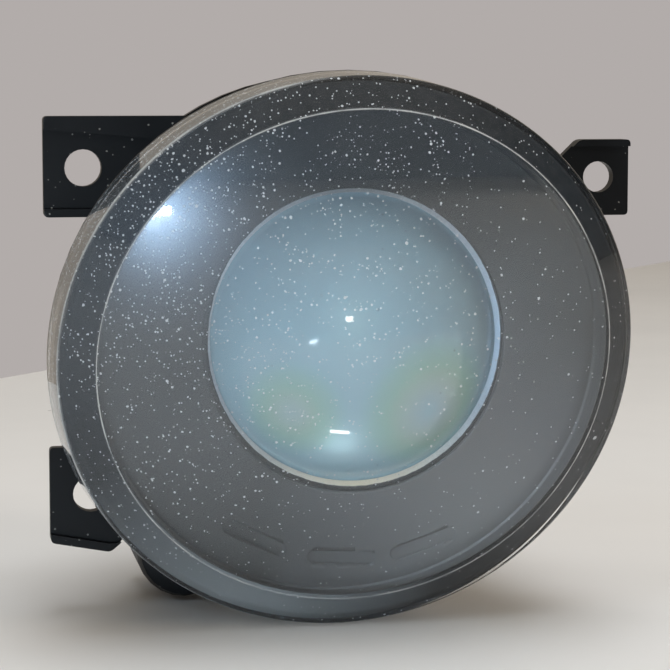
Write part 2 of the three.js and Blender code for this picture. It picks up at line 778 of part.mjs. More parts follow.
function bulbBase() {
  const [flangeFront, flangeBack] = BULB_FLANGE;
  const { halfWidth, front, back, bottom, wall } = CONNECTOR;
  const plug = turned([
    [0, 40],
    [9, 40],
    [BULB_PILOT_RADIUS, 40.6],
    [BULB_PILOT_RADIUS, 41.2],
    [9.0, 41.2],
    [9.0, 43.2],
    [BULB_PILOT_RADIUS, 43.2],
    [BULB_PILOT_RADIUS, flangeFront],
    [14, flangeFront],
    [14, flangeBack],
    [11, flangeBack],
    [11, back - 4],
    [9, back],
    [0, back],
  ]);
  const lugs = LUG_ANGLES.map((angle) => sector(12.2, angle, degrees(30), [45, 47]));
  const shell = block([-halfWidth, halfWidth], [front, back], [bottom, 0]);
  const socket = block([-halfWidth + wall, halfWidth - wall], [front + wall, back - wall], [bottom - 1, -14]);
  const bladeSlots = [-1, 1].map((side) =>
    block([side * BLADE_X - 0.9, side * BLADE_X + 0.9], [57.2, 60.8], [-20, -9]));
  return cut(join(plug, ...lugs, shell), socket, ...bladeSlots);
}

function bulbTerminal(side) {
  return block([side * BLADE_X - 0.4, side * BLADE_X + 0.4], [57.6, 60.4], [-30, -9.5]);
}

function bulbOring() {
  return turned([[9.3, 41.5], [10.9, 41.5], [10.9, 42.9], [9.3, 42.9]]);
}

// The capsule is open at the end that sits on the base.
function bulbGlass() {
  return turned([
    [0, 13],
    [3.4, 13.7],
    [5.6, 15.8],
    [6.2, 18.6],
    [6.2, 39.7],
    [5.3, 39.7],
    [5.3, 18.8],
    [4.8, 16.6],
    [2.9, 14.7],
    [0, 14.1],
  ], 16);
}

// Both leads and the wire between them, as one bent tube.
function bulbFilament() {
  const route = [[-3, 39.6], [-3, 26], [-2.2, 22.6], [0, 21.6], [2.2, 22.6], [3, 26], [3, 39.6]];
  const points = route.map(([x, y]) => new THREE.Vector3(x, y, 0));
  const path = new THREE.CatmullRomCurve3(points, false, 'centripetal');
  const section = new THREE.Shape();
  section.absarc(0, 0, 0.4, 0, 2 * Math.PI);
  return new THREE.ExtrudeGeometry(section, { extrudePath: path, steps: 20, curveSegments: 2 });
}

// ---------- Rear seals ----------

// A closed profile that follows a line of [radius, y] points at a constant thickness.
function ribbonProfile(line, thickness) {
  const sides = [[], []];
  line.forEach(([radius, y], i) => {
    const before = line[Math.max(i - 1, 0)];
    const after = line[Math.min(i + 1, line.length - 1)];
    const run = Math.hypot(after[0] - before[0], after[1] - before[1]);
    const offsetRadius = (thickness / 2) * ((after[1] - before[1]) / run);
    const offsetY = (thickness / 2) * ((before[0] - after[0]) / run);
    sides[0].push([radius + offsetRadius, y + offsetY]);
    sides[1].push([radius - offsetRadius, y - offsetY]);
  });
  return [...sides[0], ...sides[1].reverse()];
}

// Its wide end grips the collar and its narrow end the reflector's neck; the funnel between flexes.
function rearGaiter() {
  const thickness = 1.4;
  const wide = COLLAR_OUTER + 1.1;
  const narrow = NECK_OUTER + 1.1;
  const line = [[wide, 41], [wide, 43.4], [24.4, 44.2], [22.4, 44.5], [20, 44.9], [17.8, 45.3], [16.6, 45.7],
    [narrow, 46.2], [narrow, 46.9]];
  return turned(ribbonProfile(line, thickness), MEDIUM_RING);
}

function ventCap() {
  const top = 48.6;
  const ceiling = 46.6;
  const skirtEnd = 41;
  const outer = 3.8;
  const inner = VENT.radius + GAP;
  return turned([
    [0, top],
    [outer - 0.4, top],
    [outer, top - 0.6],
    [outer, skirtEnd],
    [inner, skirtEnd],
    [inner, ceiling],
    [0, ceiling],
  ], SMALL_RING);
}

// ---------- Aiming gear ----------

function adjusterScrew() {
  const [, towerBack] = TOWER;
  const shaft = turned([
    [0, 4],
    [1.8, 4],
    [SCREW_RADIUS, 4.8],
    [SCREW_RADIUS, 20.2],
    [2.1, 20.2],
    [2.1, 21.8],
    [SHAFT_RADIUS, 21.8],
    [SHAFT_RADIUS, 24.4],
    [2.7, 24.4],
    [2.7, 26.4],
    [SHAFT_RADIUS, 26.4],
    [SHAFT_RADIUS, towerBack + GAP],
    [6.2, towerBack + GAP],
    [6.2, towerBack + 1.6],
    [0, towerBack + 1.6],
  ], 16);
  return join(shaft, rod(5.0, towerBack + 1, towerBack + 7.5, 6));
}

// A push-on clip in the groove of the screw: a ring with one gap.
function adjusterClip() {
  const opening = degrees(50);
  const shape = new THREE.Shape();
  shape.absarc(0, 0, 5.4, opening / 2, 2 * Math.PI - opening / 2);
  shape.absarc(0, 0, 2.4, 2 * Math.PI - opening / 2, opening / 2, true);
  return plate(shape, [20.5, 21.5], 7);
}

function adjusterOring() {
  return turned([[3.0, 24.7], [3.75, 24.7], [3.75, 26.1], [3.0, 26.1]], 16);
}

// The nut rides on the screw; its fork holds the module's ball stud.
function adjusterNut() {
  const forkTip = 44.6;
  const reach = TOWER_DISTANCE - forkTip;
  const cheek = 2;
  const clearance = 0.35;
  const free = BALL_RADIUS + clearance;
  const start = AIM_BALL_Y - free - cheek;
  const end = AIM_BALL_Y + free + cheek;
  const sleeve = rod(SLEEVE_RADIUS, start, end, 16);
  const fork = toAngle(block([-reach, 0], [start, end], [-FORK_HALF_WIDTH, FORK_HALF_WIDTH]), TOWER_ANGLE);
  const forkGap = toAngle(
    block([-reach - 1, -4.0], [AIM_BALL_Y - free, AIM_BALL_Y + free], [-5, 5]), TOWER_ANGLE);
  return cut(join(sleeve, fork), forkGap, rod(SCREW_RADIUS + clearance, start - 1, end + 1, 16));
}

// ---------- Materials ----------

function finish(color, roughness, metalness = 0, opacity = 1) {
  return new THREE.MeshStandardMaterial({ color, roughness, metalness, opacity, transparent: opacity < 1 });
}

const MATERIALS = {
  blackPlastic: finish(0x1b1d20, 0.45),
  satinPlastic: finish(0x33363a, 0.55),
  clearPlastic: finish(0xcfd6da, 0.08, 0, 0.3),
  lensGlass: finish(0x86a6bb, 0.05, 0, 0.5),
  bulbGlass: finish(0xe6e4da, 0.05, 0, 0.4),
  sealant: finish(0xa9a9a2, 0.7),
  rubber: finish(0x151515, 0.8),
  nylon: finish(0xd8d4c6, 0.5),
  reflective: finish(0xd9dbdd, 0.12, 1),
  steel: finish(0xa6a8aa, 0.35, 1),
  castAluminium: finish(0x9b9da0, 0.5, 1),
  wire: finish(0x8b8780, 0.4, 1),
};

// ---------- Assembly ----------

function mesh(name, geometry, material, position = [0, 0, 0]) {
  const piece = new THREE.Mesh(closedBody(geometry), material);
  piece.name = name;
  piece.position.set(...position);
  return piece;
}

function housingBody() {
  const body = new THREE.Group();
  body.add(
    mesh('housing', housing(), MATERIALS.blackPlastic),
    mesh('mounting_frame', mountingFrame(), MATERIALS.blackPlastic),
    mesh('outer_lens', outerLens(), MATERIALS.clearPlastic),
    mesh('lens_sealant', lensSealant(), MATERIALS.sealant),
    mesh('bezel', bezel(), MATERIALS.satinPlastic),
    mesh('rear_gaiter', rearGaiter(), MATERIALS.rubber),
    mesh('vent_cap', ventCap(), MATERIALS.rubber, VENT_PLACE),
  );
  SOCKETS.forEach((socket) => body.add(mesh(socket.name, pivotSocket(socket), MATERIALS.nylon)));
  FRAME_SCREWS.forEach(({ angle }, i) => {
    const [x, , z] = frameScrewPlace(angle);
    body.add(mesh(`frame_screw_${i + 1}`, frameScrew(), MATERIALS.steel, [x, GAP, z]));
  });
  return body;
}

function projectorBody() {
  const body = new THREE.Group();
  body.add(
    mesh('lens_holder', lensHolder(), MATERIALS.castAluminium),
    mesh('projector_lens', projectorLens(), MATERIALS.lensGlass),
    mesh('lens_retaining_ring', lensRetainingRing(), MATERIALS.steel),
    mesh('cutoff_shield', cutoffShield(), MATERIALS.steel),
    mesh('reflector', reflector(), MATERIALS.reflective),
    mesh('bulb_lock_ring', bulbLockRing(), MATERIALS.steel),
    mesh('pivot_stud_left', ballStud(-31.8, -PIVOT_X, PIVOT_Y), MATERIALS.steel),
    mesh('pivot_stud_right', ballStud(31.8, PIVOT_X, PIVOT_Y), MATERIALS.steel),
    mesh('adjuster_ball_stud', aimingBallStud(), MATERIALS.steel),
  );
  MODULE_SCREW_ANGLES.forEach((angle, i) => {
    const x = MODULE_SCREW_CIRCLE * Math.cos(angle);
    const z = MODULE_SCREW_CIRCLE * Math.sin(angle);
    const place = [x, REFLECTOR_FLANGE[1] + GAP, z];
    body.add(mesh(`module_screw_${i + 1}`, moduleScrew(), MATERIALS.steel, place));
  });
  return body;
}

function bulbBody() {
  const body = new THREE.Group();
  body.add(
    mesh('bulb_base', bulbBase(), MATERIALS.blackPlastic),
    mesh('bulb_glass', bulbGlass(), MATERIALS.bulbGlass),
    mesh('bulb_filament', bulbFilament(), MATERIALS.wire),
    mesh('bulb_oring', bulbOring(), MATERIALS.rubber),
    mesh('bulb_terminal_left', bulbTerminal(-1), MATERIALS.steel),
    mesh('bulb_terminal_right', bulbTerminal(1), MATERIALS.steel),
  );
  return body;
}

function adjusterBody() {
  const body = new THREE.Group();
  body.position.set(
    TOWER_DISTANCE * Math.cos(TOWER_ANGLE), 0, TOWER_DISTANCE * Math.sin(TOWER_ANGLE));
  body.add(
    mesh('adjuster_screw', adjusterScrew(), MATERIALS.blackPlastic),
    mesh('adjuster_clip', adjusterClip(), MATERIALS.steel),
    mesh('adjuster_oring', adjusterOring(), MATERIALS.rubber),
    mesh('adjuster_nut', adjusterNut(), MATERIALS.nylon),
  );
  return body;
}

const fogLight = new THREE.Group();
fogLight.name = 'fog_light';
fogLight.add(housingBody(), projectorBody(), bulbBody(), adjusterBody());

export default fogLight;
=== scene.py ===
import math

import bmesh
import bpy
import numpy as np
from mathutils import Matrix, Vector


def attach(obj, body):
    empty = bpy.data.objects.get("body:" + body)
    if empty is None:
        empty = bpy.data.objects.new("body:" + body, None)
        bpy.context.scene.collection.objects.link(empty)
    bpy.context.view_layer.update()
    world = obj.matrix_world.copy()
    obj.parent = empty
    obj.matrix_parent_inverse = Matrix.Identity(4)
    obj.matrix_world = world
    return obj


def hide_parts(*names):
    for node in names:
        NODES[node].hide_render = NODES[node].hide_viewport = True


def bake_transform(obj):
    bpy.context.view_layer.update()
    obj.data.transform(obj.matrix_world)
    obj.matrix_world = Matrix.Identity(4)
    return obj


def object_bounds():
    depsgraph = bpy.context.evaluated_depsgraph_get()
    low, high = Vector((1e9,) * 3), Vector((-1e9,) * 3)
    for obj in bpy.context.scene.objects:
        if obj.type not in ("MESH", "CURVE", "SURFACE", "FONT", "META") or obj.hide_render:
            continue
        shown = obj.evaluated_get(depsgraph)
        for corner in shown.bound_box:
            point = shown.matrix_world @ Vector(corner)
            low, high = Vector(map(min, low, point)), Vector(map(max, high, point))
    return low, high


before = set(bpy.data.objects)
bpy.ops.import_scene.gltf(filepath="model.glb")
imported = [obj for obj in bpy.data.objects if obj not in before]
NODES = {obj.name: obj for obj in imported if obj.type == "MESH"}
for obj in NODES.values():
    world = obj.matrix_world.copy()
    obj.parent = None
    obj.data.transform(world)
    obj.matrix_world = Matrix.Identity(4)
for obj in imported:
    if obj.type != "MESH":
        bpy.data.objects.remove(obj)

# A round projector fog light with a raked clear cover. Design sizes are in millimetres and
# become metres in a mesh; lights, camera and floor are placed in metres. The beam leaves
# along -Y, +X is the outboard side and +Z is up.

CAD_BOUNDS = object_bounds()
MM = 0.001

# ---------- Driving sizes (mm), as in the frame ----------

RAKE_YAW = math.radians(1.2)
RAKE_PITCH = math.radians(14.3)
# A little under the frame's rise, so that the round dome stays inside the frame's box
DOME_RISE = 8.43
COVER_WALL = 2.5
TONGUE_INSET = 2.8
TONGUE_WIDTH = 1.8
TONGUE_DEPTH = 2.3
BEZEL_BASE = 50.7
BEZEL_WALL = 1.2
BEZEL_OPENING = 29.1
BEZEL_CENTRE = (-0.5, -0.3)
BEZEL_FRONT = -31.6
# Depth behind the shoulder ring, and inset from its radius
BEZEL_CORNER = (3.2, 3.2)
BEZEL_CREST = (2.0, 4.4)
BEZEL_CREST_BACK = 3.9
POCKET_DEPTH = 0.6
POCKET_CIRCLE = 43.0
POCKET_HALF_LENGTH = 5.5
POCKET_HALF_WIDTH = 1.3
POCKET_ANGLES = (-117, -93, -71)
POCKET_END_STEPS = 12
# Middle of the gaiter's wall as (radius, y), from the housing's collar to the reflector's neck
GAITER_LINE = ((25.1, 41.0), (25.1, 43.4), (24.4, 44.2), (22.4, 44.5), (20.0, 44.9),
               (17.8, 45.3), (16.6, 45.7), (16.1, 46.2), (16.1, 46.9))
GAITER_THICKNESS = 1.4
LENS_BACK_Y = -24.6
LENS_RIM_Y = -27.3
LENS_FLANGE_RADIUS = 28.6
LENS_DOME_RADIUS = 27.6
LENS_DOME_RISE = 14.0
RING_FRONT_Y = LENS_RIM_Y - 1.0
RING_BACK_Y = -21.5
RING_INNER = 27.9
RING_SLEEVE = 29.0
RING_OUTER = 29.9

FINE = 256
MEDIUM = 128
SMALL = 64
ROUNDING_STEPS = 5
DOME_STEPS = 28

# ---------- Rings and lofts ----------


def rake_axes(share):
    yaw = RAKE_YAW * share
    pitch = RAKE_PITCH * share
    across = np.array([math.cos(yaw), math.sin(yaw), 0.0])
    up = np.array([math.sin(yaw) * math.sin(pitch), -math.cos(yaw) * math.sin(pitch), math.cos(pitch)])
    inward = np.array([-math.sin(yaw) * math.cos(pitch), math.cos(yaw) * math.cos(pitch), math.sin(pitch)])
    return across, up, inward


def ring(centre, radius, share=1.0):
    """A ring as five numbers: centre x, y, z, radius, and its share of the cover's rake."""
    return np.array([*centre, radius, share])


def behind(base, depth, inset=0.0):
    inward = rake_axes(1.0)[2]
    return ring(base[:3] + inward * depth, base[3] - inset)


def centred_at(base, depth, radius):
    return behind(base, depth, base[3] - radius)


def square_ring(radius, y, place=(0.0, 0.0)):
    return ring((place[0], y, place[1]), radius, 0.0)


SHOULDER = ring((-2.5, -38.0, -3.5), 55.5)
CREASE = ring((-1.7, -42.0, -3.5), 49.2)
SKIRT_END = ring((-2.9, -24.0, -3.2), 56.1)


def rounded(corners, closed):
    """Rounds a profile. Each corner is (ring, rounding in mm); 0 leaves it sharp."""
    points = []
    last = len(corners) - 1
    for i, (corner, rounding) in enumerate(corners):
        at_end = not closed and i in (0, last)
        if rounding == 0 or at_end:
            points.append(corner)
            continue
        before = corners[i - 1][0]
        after = corners[(i + 1) % len(corners)][0]
        start = corner + (before - corner) * min(rounding / np.linalg.norm((before - corner)[:4]), 0.45)
        end = corner + (after - corner) * min(rounding / np.linalg.norm((after - corner)[:4]), 0.45)
        for t in np.linspace(0.0, 1.0, ROUNDING_STEPS):
            points.append((1 - t) ** 2 * start + 2 * t * (1 - t) * corner + t ** 2 * end)
    return points


def loft(name, rings, segments, closed):
    """Joins rings into a mesh. A ring of radius 0 is one point; a closed loop joins its ends."""
    angles = np.linspace(0.0, 2 * math.pi, segments, endpoint=False)
    vertices = []
    rows = []
    for x, y, z, radius, share in rings:
        across, up, _ = rake_axes(share)
        centre = np.array([x, y, z])
        first = len(vertices)
        if radius < 1e-6:
            vertices.append(centre * MM)
            rows.append([first])
            continue
        for angle in angles:
            point = centre + radius * (math.cos(angle) * across + math.sin(angle) * up)
            vertices.append(point * MM)
        rows.append(list(range(first, first + segments)))
    pairs = list(zip(rows, rows[1:]))
    if closed:
        pairs.append((rows[-1], rows[0]))
    faces = []
    for a, b in pairs:
        for i in range(segments):
            j = (i + 1) % segments
            if len(a) == 1:
                faces.append((a[0], b[j], b[i]))
            elif len(b) == 1:
                faces.append((a[i], a[j], b[0]))
            else:
                faces.append((a[i], a[j], b[j], b[i]))
    return mesh_piece(name, vertices, faces)


def mesh_piece(name, vertices, faces):
    mesh = bpy.data.meshes.new(name)
    mesh.from_pydata([tuple(v) for v in vertices], [], faces)
    built = bmesh.new()
    built.from_mesh(mesh)
    bmesh.ops.remove_doubles(built, verts=built.verts, dist=1e-7)
    bmesh.ops.recalc_face_normals(built, faces=built.faces)
    for face in built.faces:
        face.smooth = True
    built.to_mesh(mesh)
    built.free()
    piece = bpy.data.objects.new(name, mesh)
    bpy.context.scene.collection.objects.link(piece)
    return piece


def even_normals(piece):
    """Keeps flat faces flat to the eye beside small roundings."""
    modifier = piece.modifiers.new("even_normals", "WEIGHTED_NORMAL")
    modifier.weight = 80
    return piece


def turned(name, corners, segments=MEDIUM, closed=True):
    """A solid of revolution about Y from corners of (radius, y, rounding)."""
    profile = [(square_ring(radius, y), rounding) for radius, y, rounding in corners]
    return even_normals(loft(name, rounded(profile, closed), segments, closed))


def dome_corners(depth, rim):
    """Rings of the cover's dome from its apex to just inside the rim."""
    sphere = (rim ** 2 + DOME_RISE ** 2) / (2 * DOME_RISE)
    half_angle = math.asin(rim / sphere)
    corners = []
    for step in range(DOME_STEPS):
        angle = half_angle * step / DOME_STEPS
        rise = sphere * (math.cos(angle) - math.cos(half_angle))
        corners.append((centred_at(CREASE, depth - rise, sphere * math.sin(angle)), 0))
    return corners


def stands_for(piece, node, body):
    """The piece takes a CAD node's place and moves with its body."""
    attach(piece, body)
    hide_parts(node)
    return piece


# ---------- Material building ----------


class Recipe:
    """A material's node tree, with one short call for each kind of node."""

    def __init__(self, name):
        self.material = bpy.data.materials.new(name)
        self.material.use_nodes = True
        self.tree = self.material.node_tree
        self.tree.nodes.clear()
        self.output = self.tree.nodes.new("ShaderNodeOutputMaterial")
        coordinates = self.tree.nodes.new("ShaderNodeTexCoord")
        self.place = coordinates.outputs["Object"]
        self.normal = coordinates.outputs["Normal"]

    def node(self, kind, inputs, **settings):
        made = self.tree.nodes.new(kind)
        for key, value in settings.items():
            setattr(made, key, value)
        for key, value in inputs.items():
            if isinstance(value, bpy.types.NodeSocket):
                self.tree.links.new(value, made.inputs[key])
            else:
                made.inputs[key].default_value = value
        return made

    def noise(self, scale, detail=3.0, roughness=0.5, place=None):
        inputs = {"Vector": place or self.place, "Scale": scale, "Detail": detail, "Roughness": roughness}
        return self.node("ShaderNodeTexNoise", inputs).outputs["Fac"]

    def stretched(self, factors, turn=(0.0, 0.0, 0.0)):
        inputs = {"Vector": self.place, "Scale": factors, "Rotation": turn}
        return self.node("ShaderNodeMapping", inputs).outputs["Vector"]

    def scaled(self, value, low, high, to_low=0.0, to_high=1.0):
        inputs = {"Value": value, "From Min": low, "From Max": high, "To Min": to_low, "To Max": to_high}
        return self.node("ShaderNodeMapRange", inputs).outputs["Result"]

    def maths(self, operation, a, b):
        return self.node("ShaderNodeMath", {0: a, 1: b}, operation=operation).outputs[0]

    def colour(self, factor, a, b):
        made = self.node("ShaderNodeMix", {0: factor}, data_type="RGBA")
        for index, value in ((6, a), (7, b)):
            if isinstance(value, bpy.types.NodeSocket):
                self.tree.links.new(value, made.inputs[index])
            else:
                made.inputs[index].default_value = (*value, 1.0)
        return made.outputs[2]

    def bump(self, height, strength, distance, normal=None):
        inputs = {"Height": height, "Strength": strength, "Distance": distance}
        if normal is not None:
            inputs["Normal"] = normal
        return self.node("ShaderNodeBump", inputs).outputs["Normal"]

    def outer_face(self, centre):
        """1 on faces that look away from a point given in millimetres, 0 on those that look to it."""
        inputs = {0: self.place, 1: tuple(value * MM for value in centre)}
        offset = self.node("ShaderNodeVectorMath", inputs, operation="SUBTRACT").outputs["Vector"]
        facing = self.node("ShaderNodeVectorMath", {0: offset, 1: self.normal}, operation="DOT_PRODUCT")
        away = self.maths("GREATER_THAN", facing.outputs["Value"], 0.0)
        turned_over = self.node("ShaderNodeNewGeometry", {}).outputs["Backfacing"]
        return self.maths("ABSOLUTE", self.maths("SUBTRACT", away, turned_over), 0.0)

    def specks(self, spacing, largest, amount):
        """Round specks at random places: one in each cell of spacing metres, of random size."""
        wander = self.node("ShaderNodeTexNoise", {"Vector": self.place, "Scale": 2600.0}).outputs["Color"]
        ragged = self.node("ShaderNodeVectorMath", {0: wander, 1: (largest,) * 3}, operation="MULTIPLY")
        moved = self.node("ShaderNodeVectorMath", {0: self.place, 1: ragged.outputs["Vector"]})
        inputs = {"Vector": moved.outputs["Vector"], "Scale": 1.0 / spacing}
        cells = self.node("ShaderNodeTexVoronoi", inputs)
        chance = self.node("ShaderNodeSeparateColor", {"Color": cells.outputs["Color"]})
        size = self.scaled(chance.outputs["Red"], 0.0, 1.0, 0.4 * largest / spacing, largest / spacing)
        inside = self.maths("LESS_THAN", cells.outputs["Distance"], size)
        chosen = self.maths("LESS_THAN", chance.outputs["Green"], amount)
        return self.maths("MULTIPLY", inside, chosen)

    def distance_to(self, centre, reach):
        """1 at a point given in millimetres, falling to 0 at reach millimetres from it."""
        inputs = {0: self.place, 1: tuple(value * MM for value in centre)}
        distance = self.node("ShaderNodeVectorMath", inputs, operation="DISTANCE").outputs["Value"]
        return self.scaled(distance, 0.0, reach * MM, 1.0, 0.0)

    def raked_radius(self, centre):
        """Distance in metres from a raked ring's axis, and depth along it, from its centre in mm."""
        across, up, inward = rake_axes(1.0)
        inputs = {0: self.place, 1: tuple(value * MM for value in centre)}
        offset = self.node("ShaderNodeVectorMath", inputs, operation="SUBTRACT").outputs["Vector"]
        a, b, depth = (
            self.node("ShaderNodeVectorMath", {0: offset, 1: tuple(axis)},
                      operation="DOT_PRODUCT").outputs["Value"]
            for axis in (across, up, inward))
        squares = self.maths("ADD", self.maths("MULTIPLY", a, a), self.maths("MULTIPLY", b, b))
        return self.maths("SQRT", squares, 0.0), depth

    def near(self, value, target, reach):
        """1 where value is target, falling to 0 at reach away from it."""
        away = self.maths("ABSOLUTE", self.maths("SUBTRACT", value, target), 0.0)
        return self.scaled(away, 0.0, reach, 1.0, 0.0)

    def up_facing(self, low=0.2, high=1.0):
        parts = self.node("ShaderNodeSeparateXYZ", {0: self.normal})
        return self.scaled(parts.outputs["Z"], low, high)

    def principled(self, **inputs):
        named = {key.replace("_", " "): value for key, value in inputs.items()}
        for key in ("Base Color", "Coat Tint", "Sheen Tint"):
            if key in named and not isinstance(named[key], bpy.types.NodeSocket):
                named[key] = (*named[key], 1.0)
        return self.node("ShaderNodeBsdfPrincipled", named).outputs[0]

    def mixed(self, factor, first, second):
        return self.node("ShaderNodeMixShader", {0: factor, 1: first, 2: second}).outputs[0]

    def finish(self, shader):
        self.tree.links.new(shader, self.output.inputs["Surface"])
        return self.material


def moulded_plastic(name, dark, light, gloss, grain, dust, ripple_depth, specular, painted_light_patch=None):
    """Injection-moulded plastic: spark-eroded grain, uneven gloss, dust on what faces up and,
    round a place given in millimetres, a paler patch of painted light."""
    r = Recipe(name)
    cloud = r.noise(35.0, 5.0, 0.6)
    fine = r.noise(4200.0, 2.0)
    body = r.colour(r.scaled(cloud, 0.3, 0.7), dark, light)
    # Painted light: a paler patch round the given place stands for light reflected onto the plastic.
    if painted_light_patch is not None:
        body = r.colour(r.distance_to(*painted_light_patch), body, (0.15, 0.155, 0.158))
    settled = r.maths("MULTIPLY", r.up_facing(), r.scaled(r.noise(420.0, 6.0, 0.7), 0.35, 0.75))
    specks = r.specks(0.0016, 0.00022, 0.35)
    covering = r.maths("ADD", r.maths("MULTIPLY", settled, dust), r.maths("MULTIPLY", specks, 0.5))
    base = r.colour(covering, body, (0.42, 0.41, 0.38))
    scratches = r.noise(260.0, 3.0, 0.6, r.stretched((1.0, 9.0, 1.0), (0.3, 0.2, 0.7)))
    roughness = r.maths("ADD", r.scaled(cloud, 0.3, 0.7, gloss - 0.05, gloss + 0.08),
                        r.scaled(scratches, 0.55, 0.8, 0.0, 0.12))
    ripple = r.bump(r.noise(90.0, 2.0), 0.25, ripple_depth)
    normal = r.bump(fine, grain, 0.00004, ripple)
    return r.finish(r.principled(Base_Color=base, Roughness=roughness, Normal=normal, IOR=1.5,
                                 Specular_IOR_Level=specular))


def clear_cover():
    """Clear polycarbonate with road dust: glass between the specks, a thin haze and scratches, and thin
    cream lines painted at the crease and, to the upper left, along the shoulder as painted highlights.
    A dark layer painted on the inner face of the bevel stands for the black plastic and the shade seen
    through it, and a painted reflection of the table makes it paler near the bottom."""
    r = Recipe("clear_cover")
    wave = r.bump(r.noise(45.0, 1.5), 0.04, 0.0004)
    rough = r.scaled(r.noise(120.0, 4.0, 0.6), 0.3, 0.8, 0.015, 0.05)
    glass = r.principled(Base_Color=(0.985, 0.99, 0.99), Roughness=rough, Transmission_Weight=1.0,
                         IOR=1.49, Normal=wave)
    open_to_lamps = r.node("ShaderNodeBsdfTransparent", {"Color": (0.93, 0.94, 0.94, 1.0)}).outputs[0]
    path = r.node("ShaderNodeLightPath", {})
    clear = r.mixed(path.outputs["Is Shadow Ray"], glass, open_to_lamps)

    outside = r.outer_face((-2.5, -26.0, -3.5))
    thick_dust = r.distance_to((-42.0, -45.0, 28.0), 80.0)
    patchy = r.scaled(r.noise(60.0, 5.0, 0.65), 0.25, 0.55)
    density = r.maths("MULTIPLY", r.scaled(thick_dust, 0.0, 1.0, 0.1, 1.0), patchy)
    tiny = r.specks(0.0007, 0.00017, density)
    small = r.specks(0.001, 0.00024, density)
    middling = r.specks(0.0027, 0.00034, density)
    large = r.specks(0.0095, 0.00055, 0.5)
    finer = r.maths("MAXIMUM", r.maths("MULTIPLY", tiny, 0.6), r.maths("MULTIPLY", small, 0.6))
    coarser = r.maths("MAXIMUM", r.maths("MULTIPLY", middling, 0.6), r.maths("MULTIPLY", large, 0.5))
    dust = r.maths("MAXIMUM", finer, coarser)
    haze = r.maths("MULTIPLY", density, 0.035)
    scratch = r.scaled(r.noise(300.0, 2.0, 0.5, r.stretched((0.6, 1.0, 14.0), (0.2, 0.5, 0.1))),
                       0.72, 0.8, 0.0, 0.05)
    covering = r.maths("MAXIMUM", dust, r.maths("MAXIMUM", haze, scratch))
    # Painted highlight: thin cream lines at the crease and, to the upper left, along the shoulder, painted
    # into the outer face's diffuse dust layer with uneven strength.
    radius, depth = r.raked_radius(CREASE[:3])
    edge = r.maths("MULTIPLY", r.near(radius, CREASE[3] * MM, 0.00024), r.near(depth, 0.0, 0.0009))
    edge = r.maths("MULTIPLY", edge, r.scaled(r.noise(90.0, 4.0, 0.6), 0.3, 0.65, 0.3, 0.75))
    shoulder_radius, shoulder_depth = r.raked_radius(SHOULDER[:3])
    shoulder = r.maths("MULTIPLY", r.near(shoulder_radius, SHOULDER[3] * MM, 0.0006),
                       r.near(shoulder_depth, 0.0, 0.0009))
    upper_left = r.scaled(r.distance_to((-48.0, -38.0, 18.0), 60.0), 0.08, 0.25)
    shoulder = r.maths("MULTIPLY", r.maths("MULTIPLY", shoulder, upper_left), 0.6)
    edge = r.maths("MAXIMUM", edge, shoulder)
    painted_rim_highlight = r.maths("MULTIPLY", edge, r.scaled(r.noise(160.0, 4.0, 0.6), 0.25, 0.6, 0.45, 1.0))
    colour = r.colour(painted_rim_highlight, (0.78, 0.79, 0.80), (0.86, 0.81, 0.70))
    covering = r.maths("MULTIPLY", r.maths("MAXIMUM", covering, painted_rim_highlight), outside)
    dust_and_painted_lines = r.node("ShaderNodeBsdfDiffuse", {"Color": colour, "Roughness": 0.6}).outputs[0]
    veil = r.node("ShaderNodeBsdfGlossy", {"Color": (0.62, 0.8, 1.0, 1.0), "Roughness": 0.3}).outputs[0]
    surface = r.mixed(r.maths("MULTIPLY", r.scaled(thick_dust, 0.0, 1.0, 0.006, 0.09), outside), clear, veil)

    # Painted shade: a dark diffuse layer on the inner face of the bevel stands for the black plastic and the
    # shade seen through it.
    bevel = r.maths("MULTIPLY", r.scaled(radius, 0.0484, 0.0488), r.scaled(depth, 0.0098, 0.0104, 1.0, 0.0))
    grain = r.scaled(r.noise(500.0, 4.0, 0.6), 0.3, 0.7)
    mask_colour = r.colour(grain, (0.022, 0.024, 0.026), (0.036, 0.038, 0.040))
    # Painted reflection: the layer is paler near the bottom, where the table shows through.
    mask_colour = r.colour(r.distance_to((-22.0, -30.0, -54.0), 40.0), mask_colour, (0.30, 0.32, 0.325))
    painted_dark_lining = r.node("ShaderNodeBsdfDiffuse", {"Color": mask_colour, "Roughness": 0.7}).outputs[0]
    inside = r.maths("SUBTRACT", 1.0, outside)
    surface = r.mixed(r.maths("MULTIPLY", bevel, inside), surface, painted_dark_lining)
    return r.finish(r.mixed(covering, surface, dust_and_painted_lines))


